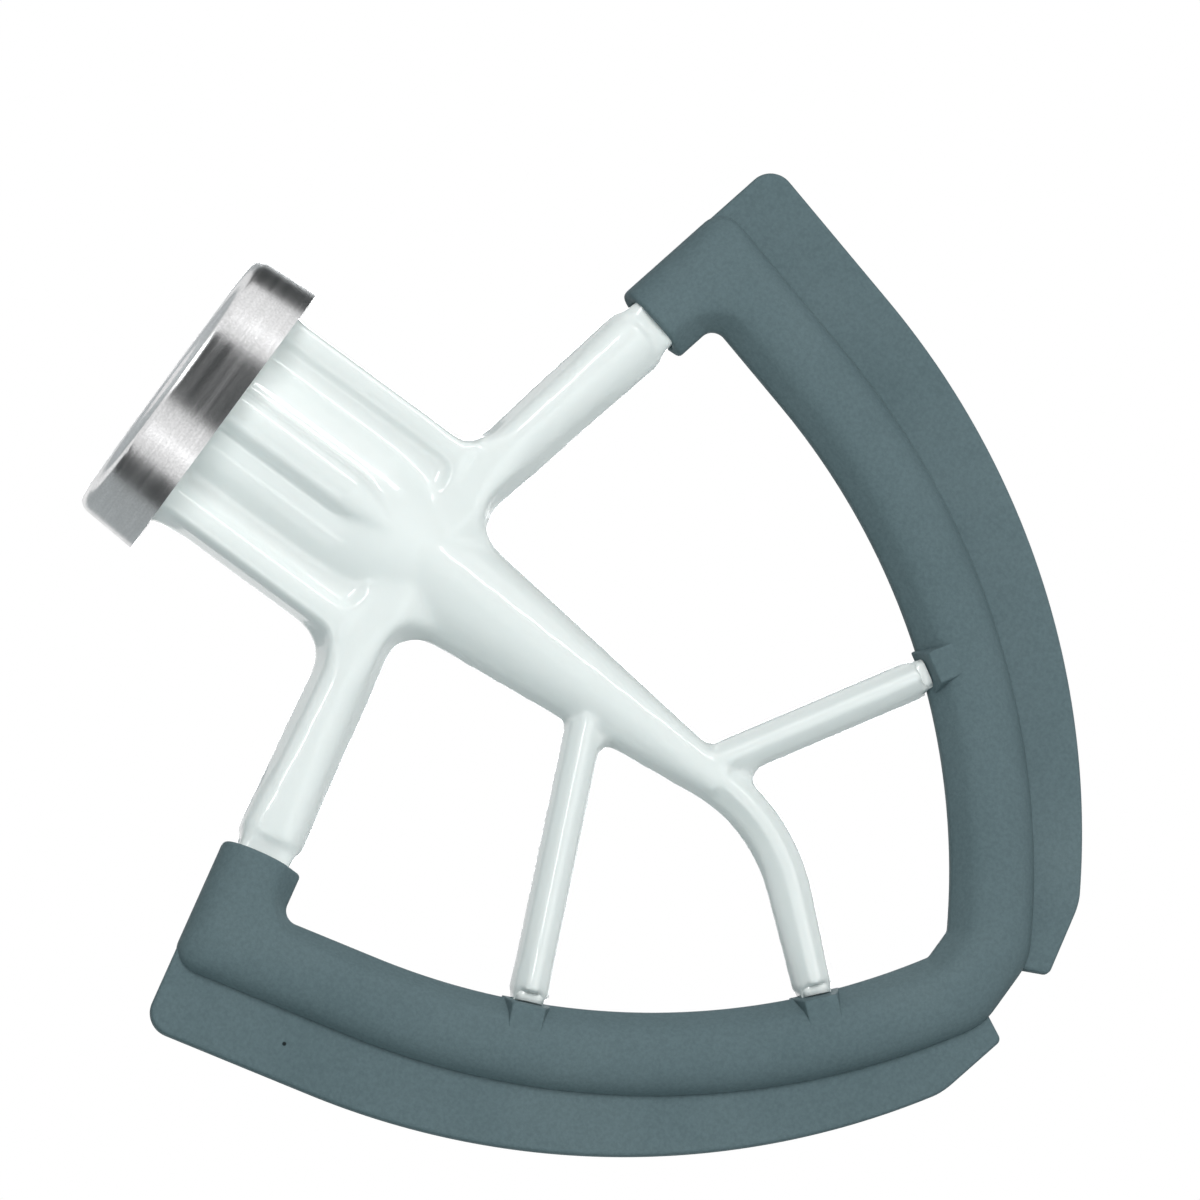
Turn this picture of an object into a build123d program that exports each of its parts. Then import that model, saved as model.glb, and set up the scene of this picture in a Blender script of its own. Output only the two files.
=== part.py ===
from build123d import *
from math import asin, atan2, cos, degrees, hypot, radians, sin, sqrt, tan
import os

# The plates are drawn in plan, x to the right and y up the shaft axis, with their depth along z.
# stand_up() then turns them into the part's frame: +Z up the shaft, X across, Y through the depth.
# The origin is the centre of the bore's mouth. Lengths are in millimetres, angles in degrees.

# Hub and shaft bore
bore_d = 12.9
bore_depth = 35.0
pin_slot_w = 5.4
pin_slot_r = 9.6
pin_slot_depth = 20.0
pin_turn = 75.0
pin_turn_h = 5.6
hub_width = 32.2
post_w = 5.1
post_draft = 7.0
hub_depth = 15.2
web_depth = 12.0
boss_d = 22.0
boss_straight_z = -28.0
boss_end_z = -46.0
boss_end_d = 12.0
crest_proud = 2.3
crest_r = 3.0
crest_end_z = -39.0
crest_end_r = 1.2
crest_end_sink = 0.3

# Steel cap and the flange that carries it
cap_top_d = 40.0
cap_rim_d = 41.2
cap_height = 9.2
cap_wall = 1.0
cap_edge_r = 2.0
cap_hole_d = 21.2
flange_inset = 0.8

# Draft of the arms and ribs from the parting plane, and how far a neck starts inside its member
plate_draft = 15.0
neck_root = 2.0

# Arms
arm_root_z = -37.6
arm_droop = 11.9
arm_w_root = 8.2
arm_w_tip = 9.2
arm_tip_depth = 10.4
arm_face_w = 6.4
arm_roof_spread = 1.4
arm_neck_w = 7.3
arm_neck_depth = 7.6
arm_neck_gap = 3.2
shoulder_r = 5.5
pocket_r = 1.8
crotch_r = 4.2
crotch_run = 24.0

# Spine
spine_top_z = -40.0
spine_w_top = 17.2
spine_depth_top = 18.0
spine_end_z = -89.0
spine_depth_end = 8.8
spine_draft = 14.0
spine_crest_w = 1.5
spine_gable = 42.0
spine_bulge = 0.09

# Ribs
rib_depth = 8.8
rib_crest_w = 0.9
rib_roof_spread = 0.84
left_rib_z = -68.55
left_rib_droop = 24.0
left_rib_w = 5.3
right_rib_z = -86.1
right_rib_droop = 30.5
right_rib_w = 5.5
hook_r = 24.0
hook_turn = 41.0
hook_w_root = 6.0
hook_w_tip = 5.4
rib_neck_w = 4.0
rib_neck_depth = 4.6
rib_neck_gap = 0.9
rib_corner_r = 1.2
rib_end_r = 0.8
fork_corner_r = 1.6
fork_run = 11.0

# Rim bar, hidden in the soft edge
rim_bar_w = 5.6
rim_bar_depth = 5.6
rim_bar_r = 1.2
rim_lean = 14.13
rim_arc_r = 99.6
rim_arc_past_axis = 45.96
rim_arc_z = -43.52
rim_bottom_z = -129.9
rim_stub = 2.0

# Soft edge
bead_w = 10.95
bead_depth = 10.4
bead_side_h = 2.0
bead_facet_w = 3.1
bead_facet_r = 1.2
bead_outer_r = 4.2
bead_corner_r = 3.0
sleeve_end = 44.6
sleeve_edge = 0.9
boss_proud = 0.25
boss_w = 6.8
boss_depth = 10.0
boss_draft = 14.0
boss_length = 6.0
wing_t = 2.4
wing_bevel = 0.5
wing_drop = 0.15
wing_arc_r = 107.68
wing_arc_past_axis = 39.53
wing_arc_z = -43.58
wing_tip_r = 3.2
wing_kink_z = -136.25
wing_kink_r = 9.6
wing_end_x = 5.4
wing_end_z = -138.45
wing_end_rise = 3.2
wing_end_slant = 1.6
wing_end_r = 0.9

# Worked out from the sizes above
post_x = hub_width / 2
bead_half = bead_w / 2
flange_foot_z = flange_inset - cap_height
on_base = (Align.CENTER, Align.CENTER, Align.MIN)
rim_arc_centre = (-rim_arc_past_axis, rim_arc_z)
spine_tip_w = hook_w_root
arm_end = sleeve_end - arm_neck_gap
hook_centre = (-hook_r, spine_end_z)
hook_straight = (hook_r * (cos(radians(hook_turn)) - 1), spine_end_z - hook_r * sin(radians(hook_turn)))
hook_heading = -90.0 - hook_turn


def heading(angle):
    """Unit vector in plan for an angle from +x."""
    return cos(radians(angle)), sin(radians(angle))


def along(start, angle, distance):
    """Point in plan at a distance from a start."""
    u, v = heading(angle)
    return start[0] + u * distance, start[1] + v * distance


def beside(start, angle, offset):
    """Point in plan offset to the left of a heading."""
    return along(start, angle + 90, offset)


def meet(a, angle_a, b, angle_b):
    """Crossing of two lines in plan, each given by a point and an angle."""
    ua, va = heading(angle_a)
    ub, vb = heading(angle_b)
    cross = ua * vb - va * ub
    t = ((b[0] - a[0]) * vb - (b[1] - a[1]) * ub) / cross
    return a[0] + ua * t, a[1] + va * t


def reach(start, angle, centre, radius):
    """Distance from a point inside a circle to the circle, along a heading."""
    u, v = heading(angle)
    dx = start[0] - centre[0]
    dy = start[1] - centre[1]
    b = dx * u + dy * v
    return -b + sqrt(b * b - dx * dx - dy * dy + radius * radius)


def stand_up(part):
    """Turns a plate drawn in plan into the part's frame."""
    return Rot(90, 0, 0) * part


def both_sides(front):
    """A form and its mirror image through the mid-plane, as one solid."""
    return front + mirror(front, about=Plane.XY)


def drafted(plan, depth, draft):
    """A plan outline given its depth, with draft from the parting plane both ways."""
    return both_sides(extrude(plan, amount=depth / 2, taper=draft))


def strip(start, angle, length, width_start, width_end):
    """A straight member in plan, from its root outwards."""
    a = width_start / 2
    b = width_end / 2
    outline = Polyline((0, -a), (length, -b), (length, b), (0, a), close=True)
    return Pos(*start) * Rot(0, 0, angle) * make_face(outline)


def ridge_section(crest, depth, spread):
    """Six-sided section with a narrow crest on each face, across y and through z."""
    c = crest / 2
    h = depth / 2
    foot = c + h * spread
    outline = Polyline((-foot, 0), (-c, h), (c, h), (foot, 0), (c, -h), (-c, -h), close=True)
    return Plane.YZ * make_face(outline)


def roof(start, angle, length, crest, depth_start, depth_end, spread):
    """The crest and shoulders over a straight member."""
    near = ridge_section(crest, depth_start, spread)
    far = Pos(length, 0, 0) * ridge_section(crest, depth_end, spread)
    return Pos(*start) * Rot(0, 0, angle) * loft([near, far], ruled=True)


def rounded_at(plan, corners):
    """Rounds the plan's corners nearest to the given points."""
    for point, radius in corners:
        nearest = plan.vertices().sort_by_distance((point[0], point[1], 0))[0]
        plan = fillet(nearest, radius)
    return plan


# Heading and width of each straight member, from its root on the axis
arms = {side: ((0, arm_root_z), -90 + side * (90 - arm_droop)) for side in (1, -1)}
left_rib = ((0, left_rib_z), 180 + left_rib_droop)
right_rib = ((0, right_rib_z), -right_rib_droop)
hook = (hook_straight, hook_heading)

bead_inner_r = rim_arc_r - bead_half
left_arc_centre = (rim_arc_past_axis, rim_arc_z)
left_rib_reach = reach(*left_rib, left_arc_centre, bead_inner_r)
right_rib_reach = reach(*right_rib, rim_arc_centre, bead_inner_r)
hook_reach = reach(*hook, left_arc_centre, bead_inner_r)
rib_stop = boss_proud + rib_neck_gap
ribs = ((left_rib, left_rib_reach), (right_rib, right_rib_reach), (hook, hook_reach))

# Corners of the rim's centre line on the +X side
side_angle = 90 - rim_lean
rim_side = along(rim_arc_centre, -rim_lean, rim_arc_r)
rim_corner = meet(*arms[1], rim_side, side_angle)
rim_drop = rim_arc_z - rim_bottom_z
rim_end_angle = degrees(atan2(rim_stub, rim_arc_r) - asin(rim_drop / hypot(rim_arc_r, rim_stub)))
rim_end = along(rim_arc_centre, rim_end_angle, rim_arc_r)
rim_low = along(rim_end, rim_end_angle - 90, rim_stub)


def spine_section(z, width, depth):
    """Section of the spine: drafted sides, then two bulging faces up to a narrow crest."""
    a = width / 2
    c = spine_crest_w / 2
    h = depth / 2
    fall = tan(radians(spine_gable))
    lean = tan(radians(spine_draft))
    shoulder_x = (a - lean * (h + fall * c)) / (1 - lean * fall)
    shoulder_h = h - fall * (shoulder_x - c)
    bulge = spine_bulge * hypot(shoulder_x - c, h - shoulder_h)
    edges = []
    for side, face in ((1, 1), (-1, 1), (-1, -1), (1, -1)):
        foot, shoulder, crest = [(side * x, face * y) for x, y in ((a, 0), (shoulder_x, shoulder_h), (c, h))]
        edges += [Line(foot, shoulder), SagittaArc(shoulder, crest, -side * face * bulge)]
    edges += [Line((-c, h), (c, h)), Line((-c, -h), (c, -h))]
    return Pos(0, 0, z) * make_face(Curve() + edges)


def make_spine():
    top = spine_section(spine_top_z, spine_w_top, spine_depth_top)
    end = spine_section(spine_end_z, spine_tip_w, spine_depth_end)
    return loft([end, top], ruled=True)


def spine_strip(top_z, end_z):
    """The spine in plan between two heights, on its own taper."""
    taper = (spine_w_top - spine_tip_w) / (spine_top_z - spine_end_z)
    top_w = spine_tip_w + taper * (top_z - spine_end_z)
    end_w = spine_tip_w + taper * (end_z - spine_end_z)
    return strip((0, top_z), -90, top_z - end_z, top_w, end_w)


def spine_roof():
    """Height limit over the spine where the arms and ribs run into it."""
    return roof((0, spine_top_z), -90, spine_top_z - spine_end_z, spine_crest_w,
                spine_depth_top, spine_depth_end, 1 / tan(radians(spine_gable)))


def bend_plan(inner, outer):
    """The bend of the hooked rib in plan, between two radii."""
    outer_arc = CenterArc(hook_centre, outer, 0, -hook_turn)
    inner_arc = CenterArc(hook_centre, inner, 0, -hook_turn)
    root = Line(inner_arc @ 0, outer_arc @ 0)
    end = Line(inner_arc @ 1, outer_arc @ 1)
    return make_face(Curve() + [outer_arc, inner_arc, root, end])


def make_ribs():
    """Three ribs and the junctions with the spine, drafted and crested."""
    half = hook_w_root / 2
    left = strip(*left_rib, left_rib_reach - rib_stop, left_rib_w, left_rib_w)
    right = strip(*right_rib, right_rib_reach - rib_stop, right_rib_w, right_rib_w)
    tail = strip(*hook, hook_reach - rib_stop, hook_w_root, hook_w_tip)
    bend = bend_plan(hook_r - half, hook_r + half)
    plan = spine_strip(left_rib_z + fork_run, spine_end_z) + left + right + bend + tail

    spine_lean = 90 - Vector(spine_w_top / 2 - half, spine_top_z - spine_end_z).get_angle(Vector(1, 0))
    spine_left = ((-half, spine_end_z), 90 + spine_lean)
    spine_right = ((half, spine_end_z), 90 - spine_lean)
    top_edge = (beside(*left_rib, -left_rib_w / 2), left_rib[1])
    low_edge = (beside(*left_rib, left_rib_w / 2), left_rib[1])
    fork_top = (beside(*right_rib, right_rib_w / 2), right_rib[1])
    fork_low = (beside(*right_rib, -right_rib_w / 2), right_rib[1])
    corners = [
        (meet(*top_edge, *spine_left), rib_corner_r),
        (meet(*low_edge, *spine_left), rib_corner_r),
        (meet(*fork_top, *spine_right), fork_corner_r),
        (meet(*fork_low, (half, spine_end_z), 90), fork_corner_r),
    ]
    for (member, distance), width in zip(ribs, (left_rib_w, right_rib_w, hook_w_tip)):
        end = along(*member, distance - rib_stop)
        for side in (1, -1):
            corners.append((beside(end, member[1], side * width / 2), rib_end_r))
    body = drafted(rounded_at(plan, corners), rib_depth, plate_draft)

    section = ridge_section(rib_crest_w, rib_depth, rib_roof_spread)
    bend_start = Pos(0, spine_end_z, 0) * Rot(0, 0, -90) * section
    bend_axis = Axis((*hook_centre, 0), (0, 0, -1))
    crests = spine_roof() + revolve(bend_start, axis=bend_axis, revolution_arc=hook_turn)
    for member, length in ribs:
        crests += roof(*member, length, rib_crest_w, rib_depth, rib_depth, rib_roof_spread)
    return body & crests


def make_arms():
    """Both arms, the roots of the posts and the rounded corners between them."""
    plan = spine_strip(arm_root_z, arm_root_z - crotch_run)
    arm_edges = {}
    for side, member in arms.items():
        plan += strip(*member, arm_end, arm_w_root, arm_w_tip)
        post = Pos(side * (post_x - post_w / 2), arm_root_z / 2) * Rectangle(post_w, -arm_root_z)
        plan += post
        upper = (beside(*member, side * arm_w_root / 2), member[1])
        lower = (beside(*member, -side * arm_w_root / 2), member[1])
        arm_edges[side] = (upper, lower)
    plan -= Rectangle(2 * hub_width, -2 * flange_foot_z)

    lean = (spine_w_top - spine_tip_w) / 2 / (spine_top_z - spine_end_z)
    corners = []
    for side, (upper, lower) in arm_edges.items():
        flank = ((side * spine_w_top / 2, spine_top_z), 90 - side * Vector(1, lean).get_angle(Vector(1, 0)))
        corners.append((meet(*upper, (side * post_x, 0), 90), shoulder_r))
        corners.append((meet(*upper, (side * (post_x - post_w), 0), 90), pocket_r))
        corners.append((meet(*lower, *flank), crotch_r))
    body = drafted(rounded_at(plan, corners), hub_depth, plate_draft)

    limit = spine_roof()
    for side, member in arms.items():
        limit += roof(*member, arm_end, arm_face_w, hub_depth, arm_tip_depth, arm_roof_spread)
        limit += Pos(side * post_x, arm_root_z / 2) * Box(3 * post_w, -arm_root_z, hub_depth)
    return body & limit


def make_posts():
    """Side posts of the hub, with their own slight draft, and the web between them."""
    posts = Pos(0, arm_root_z / 2) * Box(2 * (post_x - post_w / 2), -arm_root_z, web_depth)
    for side in (1, -1):
        plan = Pos(side * (post_x - post_w / 2), arm_root_z / 2) * Rectangle(post_w, -arm_root_z)
        posts += drafted(plan, hub_depth, post_draft)
    return posts - Box(2 * hub_width, -2 * flange_foot_z, hub_width)


def make_necks():
    """Reduced necks that carry each arm and rib on into the rim bar."""
    necks = Part()
    for member in arms.values():
        start = along(*member, arm_end - neck_root)
        length = neck_root + arm_neck_gap + rim_bar_w
        neck = Pos(length / 2, 0) * RectangleRounded(length, arm_neck_w, rim_bar_r)
        necks += both_sides(Pos(*start) * Rot(0, 0, member[1]) * extrude(neck, arm_neck_depth / 2))
    for member, distance in ribs:
        start = along(*member, distance - rib_stop - neck_root)
        length = neck_root + rib_stop + bead_half
        neck = Pos(length / 2, 0) * Rectangle(length, rib_neck_w)
        necks += both_sides(Pos(*start) * Rot(0, 0, member[1]) * extrude(neck, rib_neck_depth / 2))
    return necks


def bar_section():
    """Section of the hidden bar, normal to the plan's x axis."""
    return Plane.YZ * RectangleRounded(rim_bar_w, rim_bar_depth, rim_bar_r)


def bead_section():
    """Section of the bead, outer side along +y: a slanted facet to the window, a round flank to the wing."""
    a = bead_half
    h = bead_depth / 2
    low = bead_side_h / 2
    facet = bead_facet_w - a
    outline = Polyline((-a, -low), (-a, low), (facet, h), (a, h), (a, -h), (facet, -h), close=True)
    corners = [((x, side * h), r) for x, r in ((facet, bead_facet_r), (a, bead_outer_r)) for side in (1, -1)]
    return Plane.YZ * rounded_at(make_face(outline), corners)


def mitred(run, corner, back, ahead, keep):
    """Cuts a run at the mitre of a corner in plan, keeping the side that a heading points to."""
    cut = (back + ahead) / 2
    side = cut + 90 if cos(radians(keep - cut - 90)) > 0 else cut - 90
    half_space = Pos(*along(corner, side, rim_arc_r)) * Rot(0, 0, side) * Box(*[2 * rim_arc_r] * 3)
    return run & half_space


def rim_bar(start, section):
    """A bar round the whole rim, run clockwise: sleeves, sides, round flanks and the short flat bottom."""
    arm_angle = arms[1][1]
    down = side_angle - 180
    stub_angle = rim_end_angle - 90

    sleeve_run = hypot(rim_corner[0], rim_corner[1] - arm_root_z) - start + bead_w
    sleeve = Pos(*along(*arms[1], start)) * Rot(0, 0, arm_angle) * extrude(section, sleeve_run, dir=(1, 0, 0))
    sleeve = mitred(sleeve, rim_corner, arm_angle + 180, down + 360, arm_angle + 180)

    side_run = hypot(rim_corner[0] - rim_side[0], rim_corner[1] - rim_side[1]) + bead_w
    side_start = along(rim_side, side_angle, side_run)
    side = Pos(*side_start) * Rot(0, 0, down) * extrude(section, side_run, dir=(1, 0, 0))
    side = mitred(side, rim_corner, arm_angle + 180, down + 360, down)

    flank = revolve(Pos(*rim_side) * Rot(0, 0, down) * section, axis=Axis((*rim_arc_centre, 0), (0, 0, -1)),
                    revolution_arc=-rim_lean - rim_end_angle)

    stub = Pos(*rim_end) * Rot(0, 0, stub_angle) * extrude(section, rim_stub + bead_w, dir=(1, 0, 0))
    stub = mitred(stub, rim_low, stub_angle + 180, 180, stub_angle + 180)

    half_bottom = rim_low[0] + bead_w
    bottom = Pos(half_bottom, rim_low[1]) * Rot(0, 0, 180) * extrude(section, 2 * half_bottom, dir=(1, 0, 0))
    bottom = mitred(bottom, rim_low, stub_angle + 180, 180, 180)
    bottom = mitred(bottom, (-rim_low[0], rim_low[1]), -stub_angle, 0, 0)

    half = sleeve + side + flank + stub
    return half + mirror(half, about=Plane.YZ) + bottom


def crest_section(z, peak, r):
    """Round section of the rib down the front of the boss."""
    return Pos(0, peak - r, z) * Circle(r)


def make_hub_core():
    """Boss round the bore, its tapered end, the crest ribs and the flange under the cap."""
    r = boss_d / 2
    bottom = (boss_end_d / 2, boss_end_z)
    side = Line((r, -cap_wall), (r, boss_straight_z))
    taper = TangentArc((r, boss_straight_z), bottom, tangent=(0, -1))
    closing = Polyline(bottom, (0, boss_end_z), (0, -cap_wall), (r, -cap_wall))
    core = revolve(Plane.XZ * make_face(Curve() + [side, taper, closing]), axis=Axis.Z)

    rim_slope = (cap_rim_d - cap_top_d) / 2 / cap_height
    top_r = cap_top_d / 2 - cap_wall + rim_slope * cap_wall
    foot_r = cap_top_d / 2 - cap_wall - rim_slope * flange_foot_z
    foot = (foot_r, flange_foot_z)
    flange = make_face(Polyline((0, -cap_wall), (top_r, -cap_wall), foot, (0, flange_foot_z), close=True))
    edge = flange.vertices().sort_by_distance((top_r, -cap_wall, 0))[0]
    core += revolve(Plane.XZ * fillet(edge, cap_edge_r - cap_wall), axis=Axis.Z)
    core += Pos(0, 0, -cap_wall) * Cylinder(cap_hole_d / 2, cap_wall, align=on_base)

    end_r = hypot(r - boss_end_d / 2, boss_straight_z - boss_end_z) ** 2 / (2 * (r - boss_end_d / 2))
    flush = r - end_r + sqrt(end_r ** 2 - (boss_straight_z - crest_end_z) ** 2)
    low = crest_section(crest_end_z, flush - crest_end_sink, crest_end_r)
    middle = crest_section(boss_straight_z, r + crest_proud, crest_r)
    top = crest_section(flange_foot_z, r + crest_proud, crest_r)
    for turn in (0, 180):
        core += Rot(0, 0, turn) * loft([low, middle, top], ruled=True)
    return core


def make_bore():
    """Blind shaft bore with the slot and quarter turn for the shaft's cross pin."""
    bore_r = bore_d / 2
    bore = Pos(0, 0, -bore_depth) * Cylinder(bore_r, bore_depth, align=on_base)
    entry = Pos(0, pin_slot_r / 2, -pin_slot_depth / 2) * Box(pin_slot_w, pin_slot_r, pin_slot_depth)
    swing = Pos(0, 0, -pin_slot_depth) * Cylinder(
        pin_slot_r, pin_turn_h, rotation=(0, 0, 90 - pin_turn), arc_size=pin_turn,
        align=(Align.NONE, Align.NONE, Align.MIN))
    return bore + (entry & Cylinder(pin_slot_r, 2 * pin_slot_depth)) + swing


def make_frame():
    plates = make_ribs() + make_arms() + make_posts() + make_necks()
    plates += rim_bar(arm_end + arm_neck_gap, bar_section())
    return stand_up(plates) + make_spine() + make_hub_core() - make_bore()


def make_wing():
    """One thin wiper wing, on the +X side, from the bead's centre line to its free edge."""
    arc_centre = (-wing_arc_past_axis, wing_arc_z)
    arc_start = along(arc_centre, -rim_lean, wing_arc_r)
    top_edge = (beside(*arms[1], bead_half - wing_drop), arms[1][1])
    top_start = meet(*top_edge, rim_corner, 90)
    tip = meet(*top_edge, arc_start, side_angle)
    kink = (sqrt(wing_arc_r ** 2 - (wing_arc_z - wing_kink_z) ** 2) - wing_arc_past_axis, wing_kink_z)
    end_low = (wing_end_x, wing_end_z)
    end_high = (wing_end_x - wing_end_slant, wing_end_z + wing_end_rise)
    edges = [
        Line(top_start, tip),
        Line(tip, arc_start),
        RadiusArc(arc_start, kink, wing_arc_r),
        Line(kink, end_low),
        Line(end_low, end_high),
        Line(end_high, rim_low),
        RadiusArc(rim_side, rim_low, rim_arc_r),
        Line(rim_side, rim_corner),
        Line(rim_corner, top_start),
    ]
    plan = make_face(Curve() + edges)
    plan = rounded_at(plan, [(tip, wing_tip_r), (kink, wing_kink_r), (end_low, wing_end_r)])
    flat = extrude(plan, amount=wing_t / 2 - wing_bevel)
    bevel = extrude(flat.faces().sort_by(Axis.Z)[-1], amount=wing_bevel, taper=45)
    return both_sides(flat + bevel)


def make_boss(member, distance):
    """Drafted block moulded round the neck of a rib, a little proud of the bead."""
    plan = strip(along(*member, distance - boss_proud), member[1], boss_length, boss_w, boss_w)
    return drafted(plan, boss_depth, boss_draft)


def bead_corner():
    """Sliver that rounds the bead's outer corner over the end of the +X arm."""
    top_edge = (beside(*arms[1], bead_half), arms[1][1])
    side_edge = (beside(rim_corner, side_angle, -bead_half), side_angle)
    corner = meet(*top_edge, *side_edge)
    back = along(corner, top_edge[1], -bead_half)
    low = along(corner, side_angle, -bead_half)
    sharp = make_face(Polyline(corner, back, rim_corner, low, close=True))
    return both_sides(extrude(sharp - rounded_at(sharp, [(corner, bead_corner_r)]), amount=bead_depth))


def make_edge(frame):
    """The soft moulding: bead and sleeves, three bosses and two wings, over the hidden rim."""
    soft = rim_bar(sleeve_end, bead_section())
    for member in arms.values():
        end = soft.faces().sort_by_distance((*along(*member, sleeve_end), 0))[0]
        soft = chamfer(end.edges(), sleeve_edge)
    corner = bead_corner()
    soft -= corner
    soft -= mirror(corner, about=Plane.YZ)
    wing = make_wing()
    soft += wing
    soft += mirror(wing, about=Plane.YZ)
    for member, distance in ribs:
        soft += make_boss(member, distance)
    return stand_up(soft) - frame


def make_cap():
    """Drawn steel cap: slightly flared wall, rounded top edge and a hole round the bore's boss."""
    top_r = cap_top_d / 2
    rim_r = cap_rim_d / 2
    slope = (rim_r - top_r) / cap_height
    outer = [(cap_hole_d / 2, 0), (top_r, 0), (rim_r, -cap_height)]
    inner_top = top_r - cap_wall + slope * cap_wall
    inner = [(rim_r - cap_wall, -cap_height), (inner_top, -cap_wall), (cap_hole_d / 2, -cap_wall)]
    face = make_face(Polyline(*outer, *inner, close=True))
    face = rounded_at(face, [((top_r, 0), cap_edge_r), ((inner_top, -cap_wall), cap_edge_r - cap_wall)])
    return revolve(Plane.XZ * face, axis=Axis.Z)


frame = make_frame()
parts = {
    "beater_frame": frame,
    "silicone_edge": make_edge(frame),
    "hub_collar": make_cap(),
}

os.makedirs("parts", exist_ok=True)
for name, part in parts.items():
    export_step(part, f"parts/{name}.step")
    print(name, len(part.solids()), round(part.volume, 1), part.bounding_box())
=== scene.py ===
from math import atan2, copysign, cos, degrees, pi, radians, sin, sqrt, tan

import bmesh
import bpy
from mathutils import Matrix, Vector


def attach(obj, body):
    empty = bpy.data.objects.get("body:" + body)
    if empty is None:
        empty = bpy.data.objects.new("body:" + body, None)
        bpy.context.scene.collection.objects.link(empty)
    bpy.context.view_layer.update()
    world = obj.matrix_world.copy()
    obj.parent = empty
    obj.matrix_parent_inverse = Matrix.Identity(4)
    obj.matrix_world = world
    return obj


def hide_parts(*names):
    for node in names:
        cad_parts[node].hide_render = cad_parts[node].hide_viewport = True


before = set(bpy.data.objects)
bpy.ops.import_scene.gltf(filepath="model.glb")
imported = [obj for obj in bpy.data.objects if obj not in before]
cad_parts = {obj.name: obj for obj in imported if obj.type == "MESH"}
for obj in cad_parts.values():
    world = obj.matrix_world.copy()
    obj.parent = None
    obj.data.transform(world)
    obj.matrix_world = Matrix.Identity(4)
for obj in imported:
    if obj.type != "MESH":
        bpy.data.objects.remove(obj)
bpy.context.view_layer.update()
scene = bpy.context.scene
scene.view_settings.view_transform = "Standard"
MM = 0.001


def put(name, data):
    """A new object in the scene that shows the data."""
    made = bpy.data.objects.new(name, data)
    scene.collection.objects.link(made)
    return made


# Camera: about level with the beater, a little to its left, rolled until the shaft points to the upper left
CAMERA_LEFT = 10.5
CAMERA_RISE = 1.0
CAMERA_ROLL = 53.69
CAMERA_AIM = Vector((0.01027, 0, -0.06247))
CAMERA_DISTANCE = 2.6
CAMERA_LENS = 598.8
CAMERA_SENSOR = 36


def make_camera():
    left, rise, roll = radians(CAMERA_LEFT), radians(CAMERA_RISE), radians(CAMERA_ROLL)
    back = Vector((-sin(left) * cos(rise), -cos(left) * cos(rise), sin(rise)))
    level = Vector((cos(left), -sin(left), 0))
    right = level * cos(roll) - back.cross(level) * sin(roll)
    up = back.cross(right)
    data = bpy.data.cameras.new("camera")
    data.sensor_width = CAMERA_SENSOR
    data.lens = CAMERA_LENS
    data.clip_start = 0.05
    data.clip_end = 30
    camera = put("camera", data)
    turn = Matrix((right, up, back)).transposed().to_4x4()
    camera.matrix_world = Matrix.Translation(CAMERA_AIM + back * CAMERA_DISTANCE) @ turn
    scene.camera = camera


make_camera()


# Materials
def new_material(name):
    material = bpy.data.materials.new(name)
    material.use_nodes = True
    tree = material.node_tree
    return material, tree, tree.nodes["Principled BSDF"]


def set_inputs(shader, values):
    for name, value in values.items():
        shader.inputs[name].default_value = value


def node(tree, kind, inputs=(), **settings):
    """A new node, with its inputs either linked from a socket or set to a value."""
    made = tree.nodes.new(kind)
    for key, value in settings.items():
        setattr(made, key, value)
    for key, value in dict(inputs).items():
        if isinstance(value, bpy.types.NodeSocket):
            tree.links.new(value, made.inputs[key])
        else:
            made.inputs[key].default_value = value
    return made


def place_on(tree):
    """Place on the object, in metres."""
    return node(tree, "ShaderNodeTexCoord").outputs["Object"]


def noise(tree, where, scale, detail=2.0, rough=0.5):
    made = node(tree, "ShaderNodeTexNoise", {
        "Vector": where, "Scale": scale, "Detail": detail, "Roughness": rough})
    return made.outputs["Fac"]


def ramp(tree, value, stops):
    """Colours at stops along a value."""
    made = node(tree, "ShaderNodeValToRGB", {"Fac": value})
    elements = made.color_ramp.elements
    while len(elements) < len(stops):
        elements.new(0.5)
    for element, (at, colour) in zip(elements, stops):
        element.position = at
        element.color = (*colour, 1)
    return made.outputs["Color"]


def spread(tree, value, low, high, to_low, to_high):
    made = node(tree, "ShaderNodeMapRange", {
        "Value": value, "From Min": low, "From Max": high, "To Min": to_low, "To Max": to_high})
    return made.outputs["Result"]


def maths(tree, operation, a, b):
    return node(tree, "ShaderNodeMath", {0: a, 1: b}, operation=operation).outputs[0]


def multiply(tree, a, b):
    """The product of two colours: 6 and 7 are the colour inputs of a mix, 2 is its colour output."""
    made = node(tree, "ShaderNodeMix", {"Factor": 1.0, 6: a, 7: b}, data_type="RGBA", blend_type="MULTIPLY")
    return made.outputs[2]


def bump(tree, height, strength, distance, under=None):
    inputs = {"Height": height, "Strength": strength, "Distance": distance}
    if under is not None:
        inputs["Normal"] = under
    return node(tree, "ShaderNodeBump", inputs).outputs["Normal"]


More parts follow.
